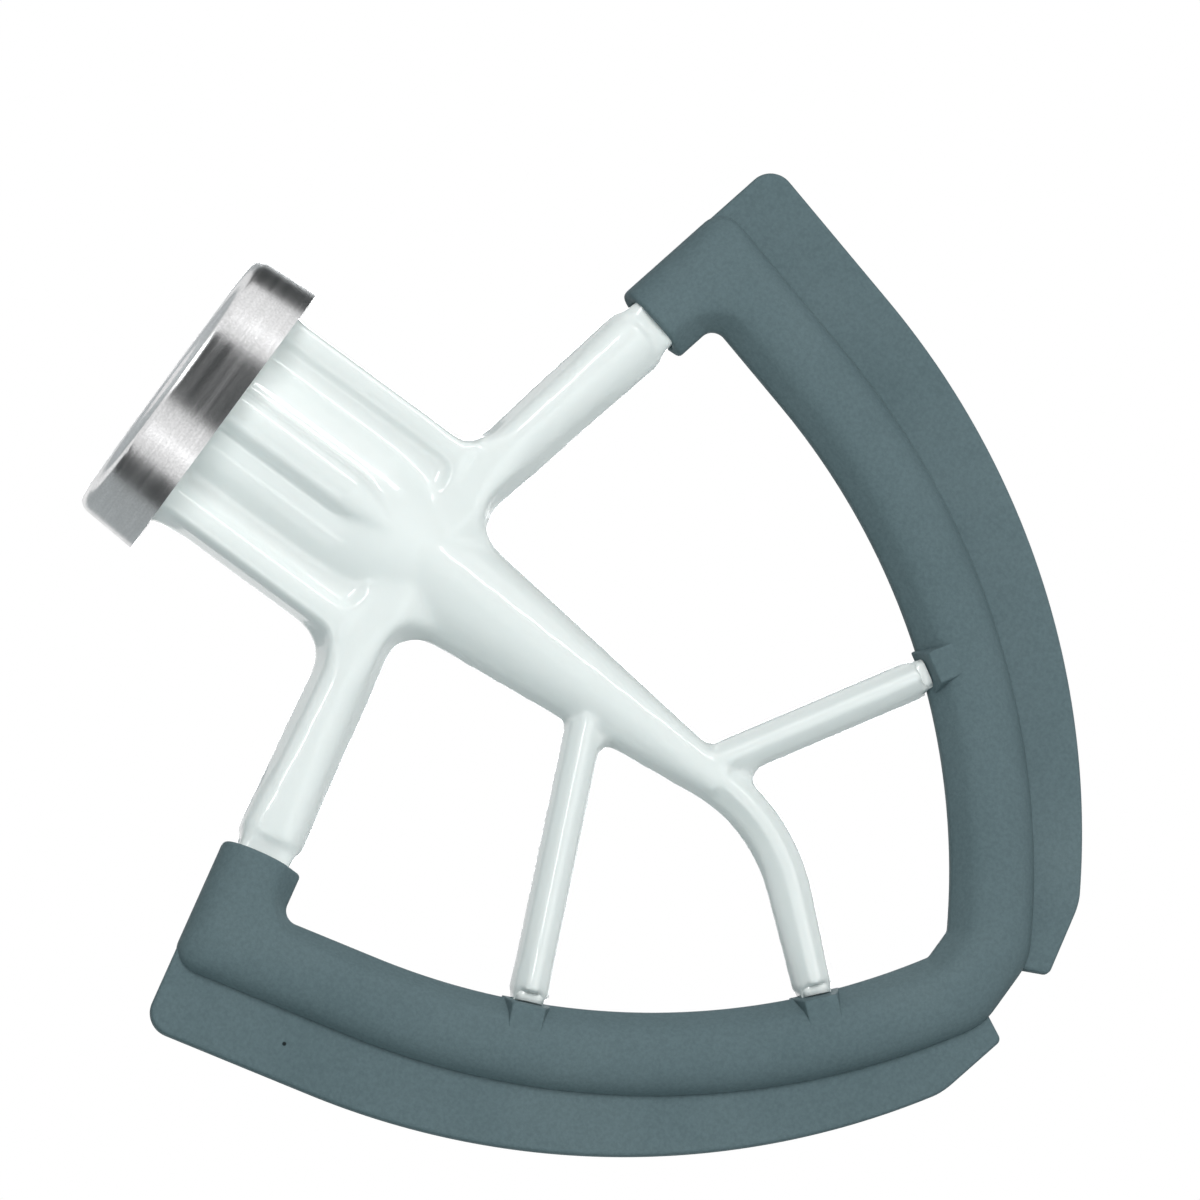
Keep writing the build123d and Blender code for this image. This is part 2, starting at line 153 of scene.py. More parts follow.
def make_white_coat():
    """Glossy white coat: a faint cloud in its tint, and a slightly wavy surface under its gloss."""
    material, tree, shader = new_material("white_coat")
    where = place_on(tree)
    cloud = noise(tree, where, scale=26, detail=3.0)
    fine = noise(tree, where, scale=950)
    peel = noise(tree, where, scale=260)
    tint = ramp(tree, cloud, [(0.3, (0.835, 0.880, 0.872)), (0.7, (0.860, 0.900, 0.893))])
    set_inputs(shader, {
        "Roughness": 0.3,
        "Coat Weight": 0.85,
        "Coat Roughness": 0.045,
        "Coat IOR": 1.5,
        "Subsurface Weight": 0.12,
        "Subsurface Radius": (0.0012, 0.0014, 0.0015),
        "Subsurface Scale": 1.0,
    })
    tree.links.new(tint, shader.inputs["Base Color"])
    under = bump(tree, peel, strength=0.08, distance=0.5 * MM)
    tree.links.new(bump(tree, fine, strength=0.05, distance=0.2 * MM, under=under), shader.inputs["Normal"])
    tree.links.new(bump(tree, peel, strength=0.045, distance=0.5 * MM), shader.inputs["Coat Normal"])
    return material


# A small dark fleck in the left wing: its place, and how far its dark middle and its edge reach
FLECK = (-0.0617, -0.0012, -0.0633)
FLECK_MIDDLE = 0.20 * MM
FLECK_EDGE = 0.34 * MM
FLECK_SHADE = 0.12


def make_silicone():
    """Matt slate grey moulding: a slow cloud, a fine dusty grain and a pebbled skin."""
    material, tree, shader = new_material("soft_grey")
    where = place_on(tree)
    cloud = noise(tree, where, scale=34, detail=4.0, rough=0.6)
    grain = noise(tree, where, scale=1900, detail=3.0, rough=0.7)
    pebble = noise(tree, where, scale=520)
    tint = ramp(tree, cloud, [
        (0.30, (0.105, 0.152, 0.167)), (0.52, (0.116, 0.165, 0.181)), (0.74, (0.128, 0.179, 0.194))])
    dust = ramp(tree, grain, [(0.35, (0.90, 0.90, 0.90)), (0.65, (1.06, 1.06, 1.06))])
    away = node(tree, "ShaderNodeVectorMath", {0: where, 1: FLECK}, operation="DISTANCE").outputs["Value"]
    clean = spread(tree, away, FLECK_MIDDLE, FLECK_EDGE, FLECK_SHADE, 1.0)
    colour = multiply(tree, multiply(tree, tint, dust), clean)
    tree.links.new(colour, shader.inputs["Base Color"])
    roughness = spread(tree, pebble, low=0.3, high=0.7, to_low=0.52, to_high=0.66)
    tree.links.new(roughness, shader.inputs["Roughness"])
    set_inputs(shader, {"Specular IOR Level": 0.10})
    under = bump(tree, pebble, strength=0.12, distance=0.4 * MM)
    tree.links.new(bump(tree, grain, strength=0.22, distance=0.12 * MM, under=under), shader.inputs["Normal"])
    return material


# How wide a full turn of the cap is to its noise: narrow, so that the brush lines run round the wall
BRUSH_TURN = 0.0045


def make_brushed_cap():
    """Drawn steel with fine brush lines that run round the wall and round the top."""
    material, tree, shader = new_material("brushed_cap")
    where = place_on(tree)
    parts = node(tree, "ShaderNodeSeparateXYZ", {"Vector": where}).outputs
    flat = node(tree, "ShaderNodeCombineXYZ", {"X": parts["X"], "Y": parts["Y"]}).outputs[0]
    radius = node(tree, "ShaderNodeVectorMath", {0: flat}, operation="LENGTH").outputs["Value"]
    turn = maths(tree, "ARCTAN2", parts["Y"], parts["X"])
    round_it = spread(tree, turn, low=-pi, high=pi, to_low=0, to_high=BRUSH_TURN)
    lines = node(tree, "ShaderNodeCombineXYZ", {"X": round_it, "Y": radius, "Z": parts["Z"]}).outputs[0]
    hair = noise(tree, lines, scale=3000, detail=4.0, rough=0.65)
    band = noise(tree, lines, scale=900)
    grain = noise(tree, where, scale=3200)
    worn = maths(tree, "MULTIPLY", hair, grain)
    tint = ramp(tree, worn, [(0.12, (0.66, 0.66, 0.665)), (0.40, (0.82, 0.82, 0.825))])
    set_inputs(shader, {"Metallic": 1.0, "Anisotropic": 0.3})
    tree.links.new(tint, shader.inputs["Base Color"])
    roughness = spread(tree, band, low=0.3, high=0.7, to_low=0.18, to_high=0.27)
    tree.links.new(roughness, shader.inputs["Roughness"])
    tangent = node(tree, "ShaderNodeTangent", direction_type="RADIAL", axis="Z")
    tree.links.new(tangent.outputs[0], shader.inputs["Tangent"])
    tree.links.new(bump(tree, hair, strength=0.06, distance=0.03 * MM), shader.inputs["Normal"])
    return material


white_coat = make_white_coat()
soft_grey = make_silicone()
brushed_cap = make_brushed_cap()


def dress(obj, material):
    obj.data.materials.clear()
    obj.data.materials.append(material)


dress(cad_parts["hub_collar"], brushed_cap)
dress(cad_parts["beater_frame"], white_coat)
dress(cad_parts["silicone_edge"], soft_grey)


# Plan geometry, in millimetres and degrees: a point is (x, z), and a bearing turns from +X towards +Z
def heading(angle):
    return Vector((cos(radians(angle)), sin(radians(angle))))


def crossing(a, angle_a, b, angle_b):
    """Where the line through a crosses the line through b."""
    u, v = heading(angle_a), heading(angle_b)
    cross = u.x * v.y - u.y * v.x
    run = ((b.x - a.x) * v.y - (b.y - a.y) * v.x) / cross
    return a + u * run


def steps(a, b, count):
    """Points from a towards b, without b."""
    return [a.lerp(b, i / count) for i in range(count)]


def arc(centre, radius, first, last, count):
    """Points on a circle from the first bearing to the last."""
    return [centre + heading(first + (last - first) * i / count) * radius for i in range(count + 1)]


def corner_arc(corner, angle_in, angle_out, radius, count):
    """Points round a corner that turns right, from heading angle_in to angle_out."""
    turn = (angle_in - angle_out) % 360
    reach = radius * tan(radians(turn / 2))
    start = corner - heading(angle_in) * reach
    centre = start + heading(angle_in - 90) * radius
    return arc(centre, radius, angle_in + 90, angle_in + 90 - turn, count)


def quarter_round(deep, wide, count):
    """Points of a quarter ellipse from (0, 0) to (deep, wide)."""
    angles = [radians(90 * i / count) for i in range(count + 1)]
    return [(deep * (1 - cos(angle)), wide * sin(angle)) for angle in angles]


def bend(start, corner, end, count):
    """Points after the start on a curve that leaves towards the corner and comes to the end from it."""
    points = []
    for i in range(1, count + 1):
        t = i / count
        points.append(tuple((1 - t) ** 2 * a + 2 * t * (1 - t) * b + t ** 2 * c
                            for a, b, c in zip(start, corner, end)))
    return points


def between(value, stops):
    """Straight-line interpolation through (at, result) stops."""
    for (a, at_a), (b, at_b) in zip(stops, stops[1:]):
        if value <= b:
            return at_a + (at_b - at_a) * max(0.0, (value - a) / (b - a))
    return stops[-1][1]


# Mesh helpers
def corner_at(mesh, plan, depth, side=1):
    """A vertex over a plan point, on the +X side or mirrored to the other."""
    return mesh.verts.new((side * plan.x * MM, depth * MM, plan.y * MM))


def skin(mesh, rings):
    """Smooth quads between neighbouring rings of vertices."""
    for a, b in zip(rings, rings[1:]):
        for i in range(len(a)):
            j = (i + 1) % len(a)
            mesh.faces.new((a[i], a[j], b[j], b[i])).smooth = True


def finished(mesh, name):
    """The mesh as data for an object, with its faces looking outwards."""
    bmesh.ops.recalc_face_normals(mesh, faces=mesh.faces)
    data = bpy.data.meshes.new(name)
    mesh.to_mesh(data)
    mesh.free()
    return data


# The beater's plan: the arm, the side that bows out from the sleeve, and the level bottom
ARM_ROOT = Vector((0, -37.6))
ARM_ANGLE = -11.9
SIDE_ANGLE = 75.87
FLANK_CENTRE = Vector((-45.96, -43.52))
FLANK_R = 99.6
FLANK_END = -58.97
BOTTOM_Z = -129.9
SLEEVE_END = 44.6

# Ribs, by where they leave the spine and by their heading. The hook turns on an arc before it runs straight.
LEFT_RIB = (Vector((0, -68.55)), 204.0)
RIGHT_RIB = (Vector((0, -86.1)), -30.5)
HOOK_Z = -89.0
HOOK_R = 24
HOOK_TURN = 41

# The bead's section, as (offset outwards from the rim's centre line, depth from the parting plane)
BEAD_HALF = 5.475
BEAD_DEPTH = 5.2
BEAD_EDGE = 0.60
EDGE_CORNER = 1.0
FACET_LOW = (-5.20, 1.38)
FACET_HIGH = (-3.60, 3.45)
FACET_CORNER = -2.32
CREST_OFFSET = 0.5
FLANK_FOOT = 0.75

# Radius of the moulding's corner beside the sleeve, and of its low corner, at offsets across the bead
CORNER_R = ((-BEAD_HALF, 1.9), (-4.9, 2.8), (-2.6, 6.0), (0.0, 6.2), (3.0, 4.4), (BEAD_HALF, 3.2))
LOW_R = ((-BEAD_HALF, 1.6), (-2.6, 5.0), (0.0, 7.0), (BEAD_HALF, 9.0))

# The sleeve's end: a rounded lip outside, and a groove round the arm's neck
LIP_ROUND = (0.56, 0.55)
GROOVE_ROUND = (0.35, 0.40)
GROOVE_INSET = 1.36
GROOVE_FLOOR = (1.4, 1.80)
RAIL_START = 1.5

# The bosses: how far each stands out of the bead's inner edge and is sunk into it, and its drafted sides
BOSS_HALF_WIDTH = 3.4
BOSS_DEPTH = 5.0
BOSS_STEP = 0.25
BOSS_SINK = 5.75
BOSS_DRAFT = 14
BOSS_ROUND = 0.22

# The wings: an outer arc with a rounded tip, down to a kink and a cut foot that its heel leads back from
WING_CENTRE = Vector((-39.53, -43.58))
WING_R = 107.68
WING_KINK_Z = -136.25
WING_FOOT = Vector((5.4, -138.45))
WING_HEEL = Vector((-1.6, 3.2))
WING_TIP_ROUND = 3.2
WING_KINK_ROUND = 9.6
WING_FOOT_ROUND = 0.9
WING_ROOT_SINK = 0.15
WING_HALF_THICK = 1.2
WING_EDGE_ROUND = 0.5


# The soft edge
def rail(offset):
    """One line along the moulding, at an offset from the rim, from inside the sleeve to the middle."""
    radius = FLANK_R + offset
    out_of_arm = heading(ARM_ANGLE + 90) * offset
    sleeve = ARM_ROOT + heading(ARM_ANGLE) * (SLEEVE_END + RAIL_START) + out_of_arm
    flank_top = FLANK_CENTRE + heading(SIDE_ANGLE - 90) * radius
    corner = crossing(sleeve, ARM_ANGLE, flank_top, SIDE_ANGLE)
    turn = corner_arc(corner, ARM_ANGLE, SIDE_ANGLE - 180, between(offset, CORNER_R), count=16)
    bottom = Vector((0, BOTTOM_Z - offset))
    flank_low = FLANK_CENTRE + heading(FLANK_END) * radius
    low = crossing(flank_low, FLANK_END - 90, bottom, 180)
    # Where the low corner's radius needs more room than the flank leaves, the flank ends earlier
    reach = between(offset, LOW_R) * tan(radians((FLANK_END + 90) / 2))
    trim = max(0.0, reach - (low - flank_low).length)
    last = FLANK_END + degrees(trim / radius) * 2
    flank_low = FLANK_CENTRE + heading(last) * radius
    low = crossing(flank_low, last - 90, bottom, 180)
    room = (low - flank_low).length / tan(radians((last + 90) / 2))
    low_turn = corner_arc(low, last - 90, -180, min(between(offset, LOW_R), room), count=10)
    middle = Vector((0, low_turn[-1].y))
    points = steps(sleeve, turn[0], count=12) + turn[:-1] + steps(turn[-1], flank_top, count=8)
    points += arc(FLANK_CENTRE, radius, SIDE_ANGLE - 90, last, count=72)[:-1]
    points += steps(flank_low, low_turn[0], count=2) + low_turn
    return points + steps(low_turn[-1], middle, count=3)[1:] + [middle]


def bead_section():
    """The bead's section: on each face a slanted facet to the window and a round flank to the wing."""
    edge = (-BEAD_HALF, BEAD_EDGE)
    half = [(-BEAD_HALF, 0.0), edge] + bend(edge, (-BEAD_HALF, EDGE_CORNER), FACET_LOW, count=2)
    half.append(((FACET_LOW[0] + FACET_HIGH[0]) / 2, (FACET_LOW[1] + FACET_HIGH[1]) / 2))
    half.append(FACET_HIGH)
    half += bend(FACET_HIGH, (FACET_CORNER, BEAD_DEPTH), (CREST_OFFSET, BEAD_DEPTH), count=7)
    count = 12
    for i in range(1, count + 1):
        angle = radians(90 * (1 - i / count))
        half.append((CREST_OFFSET + (BEAD_HALF - CREST_OFFSET) * cos(angle),
                     FLANK_FOOT + (BEAD_DEPTH - FLANK_FOOT) * sin(angle)))
    half.append((BEAD_HALF, 0.0))
    return half + [(offset, -depth) for offset, depth in reversed(half[1:-1])]


def sleeve_lip():
    """The sleeve's end as (distance into the sleeve, inset of the section), from the groove outwards."""
    groove = [(back, GROOVE_INSET + inset) for back, inset in quarter_round(*GROOVE_ROUND, count=2)]
    lip = [(back, LIP_ROUND[1] - inset) for back, inset in quarter_round(*LIP_ROUND, count=4)]
    return [GROOVE_FLOOR] + groove[::-1] + lip


def add_bead(mesh):
    section = bead_section()
    rails = [rail(offset) for offset, depth in section]
    across_arm = heading(ARM_ANGLE + 90)
    for side in (1, -1):
        rings = []
        for back, inset in sleeve_lip():
            face = ARM_ROOT + heading(ARM_ANGLE) * (SLEEVE_END + back)
            rings.append([
                corner_at(mesh, face + across_arm * offset * (1 - inset / BEAD_HALF),
                          depth * (1 - inset / BEAD_DEPTH), side)
                for offset, depth in section])
        for k in range(len(rails[0])):
            rings.append([
                corner_at(mesh, line[k], depth, side)
                for line, (offset, depth) in zip(rails, section)])
        mesh.faces.new(rings[0])
        skin(mesh, rings)


def boss_feet():
    """Where each rib's axis meets the bead's inner edge, with the rib's heading."""
    turn = radians(HOOK_TURN)
    hook_start = Vector((HOOK_R * (cos(turn) - 1), HOOK_Z - HOOK_R * sin(turn)))
    feet = []
    for (start, angle), side in ((LEFT_RIB, -1), (RIGHT_RIB, 1), ((hook_start, -90 - HOOK_TURN), -1)):
        centre = Vector((side * FLANK_CENTRE.x, FLANK_CENTRE.y))
        way = heading(angle)
        gap = start - centre
        along = gap.dot(way)
        run = -along + sqrt(along * along - gap.dot(gap) + (FLANK_R - BEAD_HALF) ** 2)
        feet.append((start + way * run, angle))
    return feet


rib_feet = boss_feet()


def add_boss(mesh, foot, angle):
    """Drafted block round the foot of a rib, sunk into the bead."""
    out = heading(angle)
    across = heading(angle + 90)
    before = set(mesh.verts)
    rings = []
    for depth in (-BOSS_DEPTH, 0.0, BOSS_DEPTH):
        inset = abs(depth) * tan(radians(BOSS_DRAFT))
        near, far = inset - BOSS_STEP, BOSS_SINK - inset
        half_width = BOSS_HALF_WIDTH - inset
        rings.append([
            corner_at(mesh, foot + out * run + across * side * half_width, depth)
            for run, side in ((near, -1), (far, -1), (far, 1), (near, 1))])
    for a, b in zip(rings, rings[1:]):
        for i in range(4):
            j = (i + 1) % 4
            mesh.faces.new((a[i], a[j], b[j], b[i]))
    mesh.faces.new(rings[0])
    mesh.faces.new(rings[-1])
    made = [vertex for vertex in mesh.verts if vertex not in before]
    edges = list({edge for vertex in made for edge in vertex.link_edges})
    rounded = bmesh.ops.bevel(
        mesh, geom=edges, offset=BOSS_ROUND * MM, segments=2, profile=0.6, affect="EDGES")
    for face in rounded["faces"]:
        face.smooth = True


def wing_outline():
    """Free wing on the +X side in plan, from its root inside the bead round its tip, kink and foot."""
    edge = ARM_ROOT + heading(ARM_ANGLE + 90) * (BEAD_HALF - WING_ROOT_SINK)
    start = WING_CENTRE + heading(SIDE_ANGLE - 90) * WING_R
    tip = crossing(edge, ARM_ANGLE, start, SIDE_ANGLE)
    rim_top = FLANK_CENTRE + heading(SIDE_ANGLE - 90) * FLANK_R
    rim_corner = crossing(ARM_ROOT, ARM_ANGLE, rim_top, SIDE_ANGLE)
    root = crossing(edge, ARM_ANGLE, rim_corner, 90)
    drop = WING_KINK_Z - WING_CENTRE.y
    kink = Vector((WING_CENTRE.x + sqrt(WING_R ** 2 - drop ** 2), WING_KINK_Z))
    low = degrees(atan2(kink.y - WING_CENTRE.y, kink.x - WING_CENTRE.x))
    to_foot = degrees(atan2(WING_FOOT.y - kink.y, WING_FOOT.x - kink.x)) % 360
    to_heel = degrees(atan2(WING_HEEL.y, WING_HEEL.x))
    round_kink = corner_arc(kink, (low - 90) % 360, to_foot, WING_KINK_ROUND, count=8)
    last = degrees(atan2(round_kink[0].y - WING_CENTRE.y, round_kink[0].x - WING_CENTRE.x))
    points = [root] + corner_arc(tip, ARM_ANGLE, SIDE_ANGLE - 180, WING_TIP_ROUND, count=14)
    points += arc(WING_CENTRE, WING_R, SIDE_ANGLE - 90, last, count=60)
    points += round_kink[1:]
    points += corner_arc(WING_FOOT, to_foot, to_heel, WING_FOOT_ROUND, count=6)
    points.append(WING_FOOT + WING_HEEL)
    points += arc(FLANK_CENTRE, FLANK_R, FLANK_END, SIDE_ANGLE - 90, count=40)
    return points + [rim_corner]


def inward(points, amount):
    """The outline moved inwards, vertex by vertex."""
    moved = []
    count = len(points)
    for i, at in enumerate(points):
        a = (at - points[i - 1]).normalized()
        b = (points[(i + 1) % count] - at).normalized()
        normal = Vector((a.y + b.y, -a.x - b.x))
        if normal.length < 1e-9:
            normal = Vector((a.y, -a.x))
        normal.normalize()
        slant = max(0.5, sqrt(max(0.0, (1 + a.dot(b)) / 2)))
        moved.append(at + normal * (amount / slant))
    return moved


def add_wings(mesh):
    outline = wing_outline()
    wall = WING_HALF_THICK - WING_EDGE_ROUND
    turn = quarter_round(WING_EDGE_ROUND, WING_EDGE_ROUND, count=3)
    edge = [(inset, wall + depth) for inset, depth in turn]
    levels = [(inset, -depth) for inset, depth in reversed(edge)] + [(0.0, 0.0)] + edge
    for side in (1, -1):
        rings = []
        for inset, depth in levels:
            rings.append([corner_at(mesh, at, depth, side) for at in inward(outline, inset)])
        skin(mesh, rings)
        mesh.faces.new(rings[0])
        mesh.faces.new(rings[-1])


def make_moulding():
    mesh = bmesh.new()
    add_bead(mesh)
    for foot, angle in rib_feet:
        add_boss(mesh, foot, angle)
    add_wings(mesh)
    bmesh.ops.remove_doubles(mesh, verts=mesh.verts, dist=1e-6)
    return finished(mesh, "moulding")


moulding = put("silicone_moulding", make_moulding())
dress(moulding, soft_grey)
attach(moulding, "root")
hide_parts("silicone_edge")


# The casting, with its edges and corners softened as the mould and the coat leave them
CELL = 0.5 * MM
ARMS_END_Z = 60
HUB_SLIM = 0.10

# A quarter of a rib's section, and the stretches of its square end and of its neck, from its foot at the boss
RIB_END_QUARTER = ((2.70, 0.0), (2.08, 2.44), (0.45, 4.38))
RIB_END = (-4.0, -0.95)
NECK = ((-1.6, 2.0, 3.0), (-0.5, 2.05, 3.05), (0.3, 2.05, 3.05))

# An arm's full section before the sleeve, as (distance from the sleeve's end, half-width, half-depth)
ARM_END = ((-11.0, 4.2, 5.0), (-8.0, 4.4, 5.15), (-2.3, 4.5, 5.15))


def rib_end_section():
    """Half-widths and depths round a rib, where its drafted sides meet the slopes of its crest."""
    half = list(RIB_END_QUARTER) + [(-width, depth) for width, depth in reversed(RIB_END_QUARTER)]
    return half + [(width, -depth) for width, depth in reversed(half[1:-1])]


def oval(half_width, half_depth):
    """A rounded rectangle as points round it, squarer at its sides than at its faces."""
    count = 24
    points = []
    for i in range(count):
        angle = radians(360 * i / count)
        width = copysign(abs(cos(angle)) ** 0.5, cos(angle))
        depth = copysign(abs(sin(angle)) ** 0.7, sin(angle))
        points.append((half_width * width, half_depth * depth))
    return points


def add_length(mesh, foot, angle, sections):
    """A closed length of a rib or an arm, with its sections given at distances from its foot."""
    out = heading(angle)
    across = heading(angle + 90)
    rings = []
    for run, section in sections:
        rings.append([corner_at(mesh, foot + out * run + across * width, depth) for width, depth in section])
    skin(mesh, rings)
    mesh.faces.new(rings[0])
    mesh.faces.new(rings[-1])


def make_neck(foot, angle):
    """The short round neck between a rib's square end and its boss."""
    mesh = bmesh.new()
    add_length(mesh, foot, angle, [(run, oval(width, depth)) for run, width, depth in NECK])
    data = finished(mesh, "neck")
    for polygon in data.polygons:
        polygon.use_smooth = len(polygon.vertices) == 4
    return data


def off_ends(at):
    """0 at a rib's square end, about a third at an arm's, 1 further up and everywhere else."""
    away = min((Vector((at.x, at.z)) - foot).length for foot, angle in rib_feet)
    arm = between(abs(at.x), ((38.0, 1.0), (40.0, 0.35))) if -at.z < ARMS_END_Z else 1.0
    return min(arm, between(away, ((0, 0.0), (2.6, 0.12), (6.0, 1.0))))


def on_true_form(at):
    """1 where the casting has no length added to it, so that its vertices go back onto the solid's faces."""
    return 1.0 if off_ends(at) > 0.4 and abs(at.x) < 32 else 0.0


def above_ribs(at):
    """1 down to where the arms end, and 0 below."""
    return between(-at.z, ((0, 1.0), (ARMS_END_Z, 1.0), (ARMS_END_Z + 6, 0.0)))


def about_hub(at):
    return between(0.6 * abs(at.x) - at.z, ((0, 1.0), (52, 1.0), (64, 0.0)))


def about_posts(at):
    """1 on the posts beside the hub, round the ends of its pockets and on the arms."""
    x = abs(at.x)
    posts = between(x, ((7.0, 0.0), (10.5, 1.0), (17.0, 1.0), (22.0, 0.4), (39.0, 0.1)))
    pocket_x = between(x, ((3.0, 0.0), (6.0, 1.0)))
    pocket_z = between(-at.z, ((33, 0.0), (37, 1.0), (50, 1.0), (56, 0.0)))
    return max(posts, pocket_x * pocket_z) * above_ribs(at)


def about_arms(at):
    return between(abs(at.x), ((15.0, 0.0), (21.0, 1.0), (36.0, 1.0), (39.5, 0.0))) * above_ribs(at)


# The arms' crests: their upper and lower edges below the arm's axis, at the hub and at the +X and -X sleeves
CREST_HUB = (-0.4, 0.2)
CREST_RIGHT = (-1.0, 0.4)
CREST_LEFT = (-3.1, 2.0)
CREST_FROM = 14.0
CREST_TO = 42.0
FALL_ABOVE = 0.36
FALL_BELOW = 0.75


def arm_slope(at):
    """How far an arm's faces fall away either side of its flat crest, as a share of their depth."""
    from_root = Vector((abs(at.x), at.z - ARM_ROOT.y))
    along = from_root.dot(heading(ARM_ANGLE))
    below = from_root.dot(heading(ARM_ANGLE - 90))
    upper, lower = CREST_RIGHT if at.x > 0 else CREST_LEFT
    over = between(along, ((CREST_FROM, CREST_HUB[0]), (CREST_TO, upper))) - below
    under = below - between(along, ((CREST_FROM, CREST_HUB[1]), (CREST_TO, lower)))
    fall = (FALL_ABOVE * max(0.0, over) + FALL_BELOW * max(0.0, under)) / BEAD_DEPTH
    on_arm = between(along, ((13.0, 0.0), (22.0, 1.0), (43.0, 1.0), (44.4, 0.0)))
    return fall * on_arm * between(abs(below), ((6, 1.0), (9, 0.0)))


def slim_back(at):
    """How far the sides of the hub draw in towards its back, as a share of their x."""
    deep = between(at.y, ((-5.0, 0.0), (10.0, 1.0)))
    side = between(abs(at.x), ((9.0, 0.0), (13.0, 1.0), (20.0, 1.0), (27.0, 0.0)))
    return HUB_SLIM * deep * side * between(-at.z, ((9, 0.0), (14, 1.0), (46, 1.0), (56, 0.0)))


def weigh(cast, name, weight_at):
    """A group of the casting's vertices, weighted by their place in millimetres."""
    group = cast.vertex_groups.new(name=name)
    for index, vertex in enumerate(cast.data.vertices):
        weight = weight_at(vertex.co / MM)
        if weight > 0:
            group.add([index], weight, "REPLACE")


def apply_modifiers(cast):
    graph = bpy.context.evaluated_depsgraph_get()
    made = bpy.data.meshes.new_from_object(cast.evaluated_get(graph))
    cast.modifiers.clear()
    cast.data = made


def lengthened_solid():
    """The solid casting, with the square rib ends and the arms' full section brought nearer to the edge."""
    mesh = bmesh.new()
    mesh.from_mesh(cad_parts["beater_frame"].data)
    for foot, angle in rib_feet:
        add_length(mesh, foot, angle, [(run, rib_end_section()) for run in RIB_END])
    for angle in (ARM_ANGLE, 180 - ARM_ANGLE):
        sleeve = ARM_ROOT + heading(angle) * SLEEVE_END
        add_length(mesh, sleeve, angle, [(run, oval(width, depth)) for run, width, depth in ARM_END])
    return finished(mesh, "casting")


def make_casting():
    """One even mesh over the whole casting, laid on the solid's faces and then smoothed place by place."""
    cast = put("beater_casting", lengthened_solid())
    remesh = cast.modifiers.new("remesh", "REMESH")
    remesh.mode = "VOXEL"
    remesh.voxel_size = CELL
    apply_modifiers(cast)
    weigh(cast, "true", on_true_form)
    wrap = cast.modifiers.new("wrap", "SHRINKWRAP")
    wrap.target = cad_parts["beater_frame"]
    wrap.wrap_method = "NEAREST_SURFACEPOINT"
    wrap.vertex_group = "true"
    apply_modifiers(cast)
    for vertex in cast.data.vertices:
        vertex.co.y *= 1 - arm_slope(vertex.co / MM)
    for name, weight_at, rounds in (
            ("ends", off_ends, 9),
            ("hub", about_hub, 5),
            ("posts", about_posts, 25),
            ("arms", about_arms, 11)):
        weigh(cast, name, weight_at)
        smooth = cast.modifiers.new("smooth", "SMOOTH")
        smooth.factor = 0.5
        smooth.iterations = rounds
        smooth.vertex_group = name
    apply_modifiers(cast)
    for vertex in cast.data.vertices:
        vertex.co.x *= 1 - slim_back(vertex.co / MM)
    for polygon in cast.data.polygons:
        polygon.use_smooth = True
    return cast


def add_necks(cast):
    mesh = bmesh.new()
    mesh.from_mesh(cast.data)
    for foot, angle in rib_feet:
        mesh.from_mesh(make_neck(foot, angle))
    mesh.to_mesh(cast.data)
    mesh.free()


casting = make_casting()
add_necks(casting)
dress(casting, white_coat)
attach(casting, "root")
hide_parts("beater_frame")


# Floor and backdrop. Both look white to the camera, and the floor keeps the beater's shadow.
FLOOR_HALF = 3.0
FLOOR_Z = -0.45
FLOOR_LIFT = 0.35


def mix_shader(tree, share, a, b):
    return node(tree, "ShaderNodeMixShader", {0: share, 1: a, 2: b}).outputs[0]


def make_floor():
    mesh = bpy.data.meshes.new("floor")
    corners = ((-1, -1), (1, -1), (1, 1), (-1, 1))
    mesh.from_pydata([(FLOOR_HALF * x, FLOOR_HALF * y, 0) for x, y in corners], [], [(0, 1, 2, 3)])
    floor = put("floor", mesh)
    floor.location.z = FLOOR_Z
    material, tree, shader = new_material("floor")
    set_inputs(shader, {"Base Color": (0.86, 0.87, 0.87, 1), "Roughness": 1.0, "Specular IOR Level": 0.0})
    lift = node(tree, "ShaderNodeEmission", {"Color": (1, 1, 1, 1), "Strength": FLOOR_LIFT})
    both = node(tree, "ShaderNodeAddShader", {0: shader.outputs[0], 1: lift.outputs[0]})
    seen = node(tree, "ShaderNodeLightPath").outputs["Is Camera Ray"]
    surface = mix_shader(tree, seen, shader.outputs[0], both.outputs[0])
    tree.links.new(surface, tree.nodes["Material Output"].inputs["Surface"])
    floor.data.materials.append(material)


def make_world():
    """A dim, slightly cool surround that is plain white to the camera, to reflections and through glass."""
    world = bpy.data.worlds.new("world")
    scene.world = world
    world.use_nodes = True
    tree = world.node_tree
    dim = tree.nodes["Background"]
    set_inputs(dim, {"Color": (0.82, 0.93, 0.93, 1), "Strength": 0.30})
    white = node(tree, "ShaderNodeBackground", {"Color": (1, 1, 1, 1), "Strength": 1.0})
    rays = node(tree, "ShaderNodeLightPath").outputs
    seen = maths(tree, "MAXIMUM", rays["Is Camera Ray"], rays["Is Glossy Ray"])
    seen = maths(tree, "MAXIMUM", seen, rays["Is Transmission Ray"])
    surface = mix_shader(tree, seen, dim.outputs[0], white.outputs[0])
    tree.links.new(surface, tree.nodes["World Output"].inputs["Surface"])


make_floor()
make_world()


# Grey cards round the set, which only reflections show
FLAG_LOW = -0.9
FLAG_HIGH = 0.8
FLAG_RADIUS = 1.7
CEILING_NEAR = 0.30
CEILING_FAR = 1.15
CEILING_Z = 1.0


def make_grey(name, value):
    material, tree, shader = new_material(name)
    set_inputs(shader, {"Base Color": (value, value, value * 1.02, 1), "Roughness": 0.9})
    return material


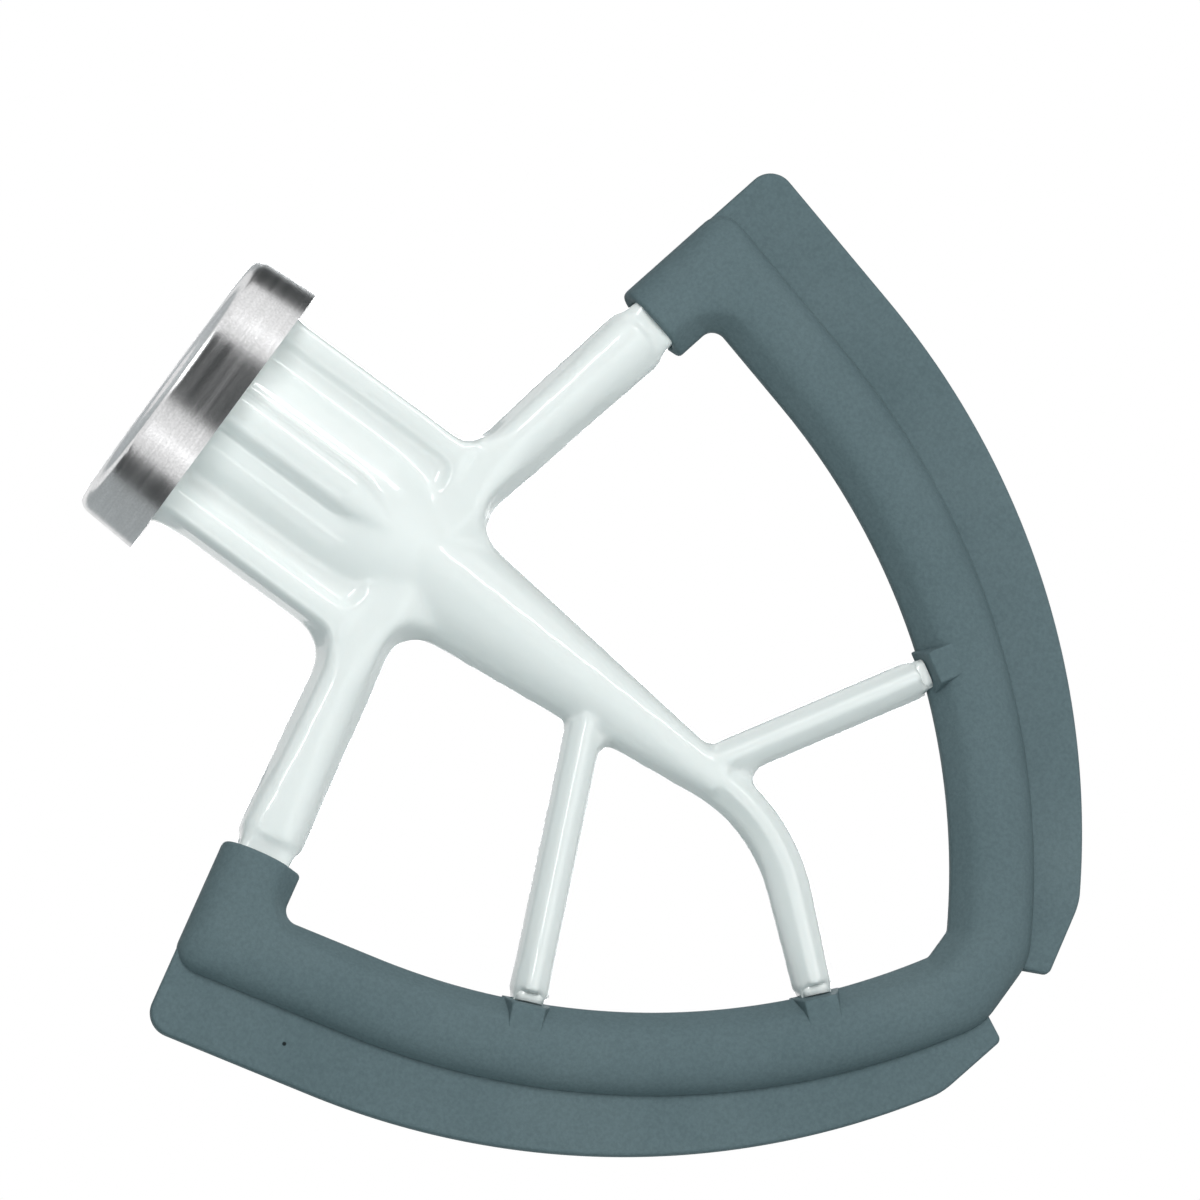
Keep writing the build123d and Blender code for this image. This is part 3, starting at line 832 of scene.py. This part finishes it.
def round_set(angle, radius, z):
    """A place at a bearing from the front of the set, with +X to the right."""
    bearing = radians(angle)
    return radius * sin(bearing), -radius * cos(bearing), z


def card(name, angles, lower, upper, grey):
    """A strip of quads between two arcs, each given by its radius and height."""
    places = []
    for angle in angles:
        places += [round_set(angle, *lower), round_set(angle, *upper)]
    quads = [(2 * i, 2 * i + 2, 2 * i + 3, 2 * i + 1) for i in range(len(angles) - 1)]
    mesh = bpy.data.meshes.new(name)
    mesh.from_pydata(places, [], quads)
    made = put(name, mesh)
    mesh.materials.append(grey)
    made.visible_camera = False
    made.visible_diffuse = False
    made.visible_shadow = False


def flag(name, first, last, grey):
    """A curved upright card between two bearings, that steel shows as a band."""
    count = 12
    angles = [first + (last - first) * i / count for i in range(count + 1)]
    card(name, angles, (FLAG_RADIUS, FLAG_LOW), (FLAG_RADIUS, FLAG_HIGH), grey)


def ceiling_ring(name, grey):
    count = 48
    angles = [360 * i / count for i in range(count + 1)]
    card(name, angles, (CEILING_NEAR, CEILING_Z), (CEILING_FAR, CEILING_Z), grey)


dark = make_grey("flag_dark", 0.10)
middling = make_grey("flag_middling", 0.90)
flag("flag_left", -99, -70, dark)
flag("flag_front", -22, 41, dark)
flag("flag_right", 101, 136, dark)
flag("flag_back_left", -165, -99.5, middling)
flag("flag_back_right", 136.5, 175, middling)
ceiling_ring("flag_top", middling)


# Lamps: broad soft ones for the shading, and narrow strips that only draw highlights along the crests
MIDDLE = Vector((0, 0, -0.065))


def lamp(name, direction, distance, size, power, colour=(1, 1, 1)):
    """A soft rectangular light that looks at the middle of the beater."""
    data = bpy.data.lights.new(name, "AREA")
    data.shape = "RECTANGLE"
    data.size, data.size_y = size
    data.energy = power
    data.color = colour
    made = put(name, data)
    way = Vector(direction).normalized()
    made.location = MIDDLE + way * distance
    made.rotation_mode = "QUATERNION"
    made.rotation_quaternion = way.to_track_quat("Z", "Y")
    return made


def broad(name, direction, distance, size, power, colour):
    lamp(name, direction, distance, size, power, colour).visible_glossy = False


def strip(name, direction, distance, size, power):
    lamp(name, direction, distance, size, power).visible_diffuse = False


broad("key", (0.37, -0.93, 0.19), distance=1.1, size=(0.5, 0.5), power=8.3, colour=(1.0, 0.995, 0.985))
broad("fill", (-0.97, -0.22, 0.08), distance=1.2, size=(0.6, 0.6), power=2.6, colour=(0.92, 1.0, 1.0))
lamp("back", (0.35, 1.0, 0.0), distance=1.3, size=(0.6, 0.6), power=6.0)
strip("strip_right", (0.87, -0.50, -0.06), distance=1.2, size=(0.10, 0.35), power=1.1)
strip("strip_low", (0.18, -0.89, -0.41), distance=1.2, size=(0.70, 0.10), power=2.0)
strip("strip_high", (0.18, -0.84, 0.52), distance=1.2, size=(0.70, 0.13), power=3.4)
strip("strip_left", (-0.74, -0.66, 0.02), distance=1.3, size=(0.12, 0.40), power=0.30)
